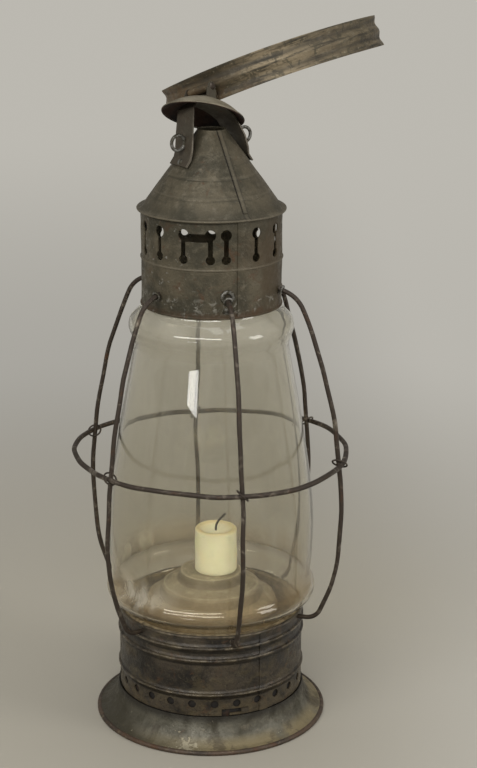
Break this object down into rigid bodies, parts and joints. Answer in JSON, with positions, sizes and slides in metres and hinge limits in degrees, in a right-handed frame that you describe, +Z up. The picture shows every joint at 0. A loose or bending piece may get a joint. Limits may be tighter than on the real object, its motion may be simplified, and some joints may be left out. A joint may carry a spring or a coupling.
{
  "type": "candle lantern",
  "caption": "Old tin candle lantern: flared foot, drum with air holes, bulged glass globe in a wire cage, pierced vent band, conical hood, smoke cap on a strap and a fluted ring handle.",
  "frame": {"origin": "centre of the foot on the floor plane, on the lantern axis", "axes": "+Z up along the lantern axis, -Y the front in the picture, +X to its right"},
  "size_m": [0.2155, 0.2553, 0.493],
  "materials": {
    "foot_tin": "worn japanned tin, olive grey with ochre stains",
    "rim_iron": "dark brown wired edge",
    "drum_tin": "worn dark japanned tin",
    "tray_tin": "stained tin",
    "wax": "cream wax",
    "wick_cotton": "burnt cotton",
    "plaster": "stained plaster",
    "globe_glass": "clear blown glass",
    "band_tin": "matt aged tin",
    "hood_tin": "matt aged tin",
    "strap_tin": "dark aged tin",
    "cap_tin": "pale aged tin",
    "handle_tin": "brown aged tin",
    "cage_iron": "dark iron wire, worn bright in places",
    "soft_wire": "grey iron wire"
  },
  "bodies": {
    "foot": {"foot_rim_wire": "rim_iron", "foot_skirt": "foot_tin", "foot_neck": "foot_tin", "bayonet_lugs": "foot_tin", "candle_tray": "tray_tin", "candle_pricket": "tray_tin"},
    "candle": {"candle": "wax", "wick": "wick_cotton"},
    "lantern": {"base_drum": "drum_tin", "lower_globe_bed": "plaster", "globe": "globe_glass", "upper_globe_bed": "plaster", "vent_band": "band_tin", "guard_wire_1": "cage_iron", "guard_wire_2": "cage_iron", "guard_wire_3": "cage_iron", "guard_wire_4": "cage_iron", "guard_wire_5": "cage_iron", "guard_wire_6": "cage_iron", "guard_ring": "cage_iron", "guard_ring_ties": "soft_wire", "guard_staples": "soft_wire", "hood_cone": "hood_tin", "cap_strap": "strap_tin", "strap_rivets": "soft_wire", "smoke_cap": "cap_tin", "cap_solder_pad": "strap_tin", "left_bail_ear": "soft_wire", "right_bail_ear": "soft_wire", "handle_saddle": "strap_tin", "handle_pivot_wire": "soft_wire"},
    "handle": {"ring_handle": "handle_tin", "handle_leaf": "handle_tin", "handle_rivets": "soft_wire"}
  },
  "joints": [
    {"name": "base_twist", "type": "hinge", "parent": "foot", "child": "lantern", "pos_m": [0, 0, 0.0256], "axis": [0, 0, 1], "range_deg": [0, 12]},
    {"name": "candle_lift", "type": "slide", "parent": "foot", "child": "candle", "axis": [0, 0, 1], "range_m": [0, 0.017]},
    {"name": "handle_swing", "type": "hinge", "parent": "lantern", "child": "handle", "pos_m": [-0.00799, 0.01221, 0.44599], "axis": [0.7367, -0.5828, 0.3429], "range_deg": [0, 120]}
  ]
}
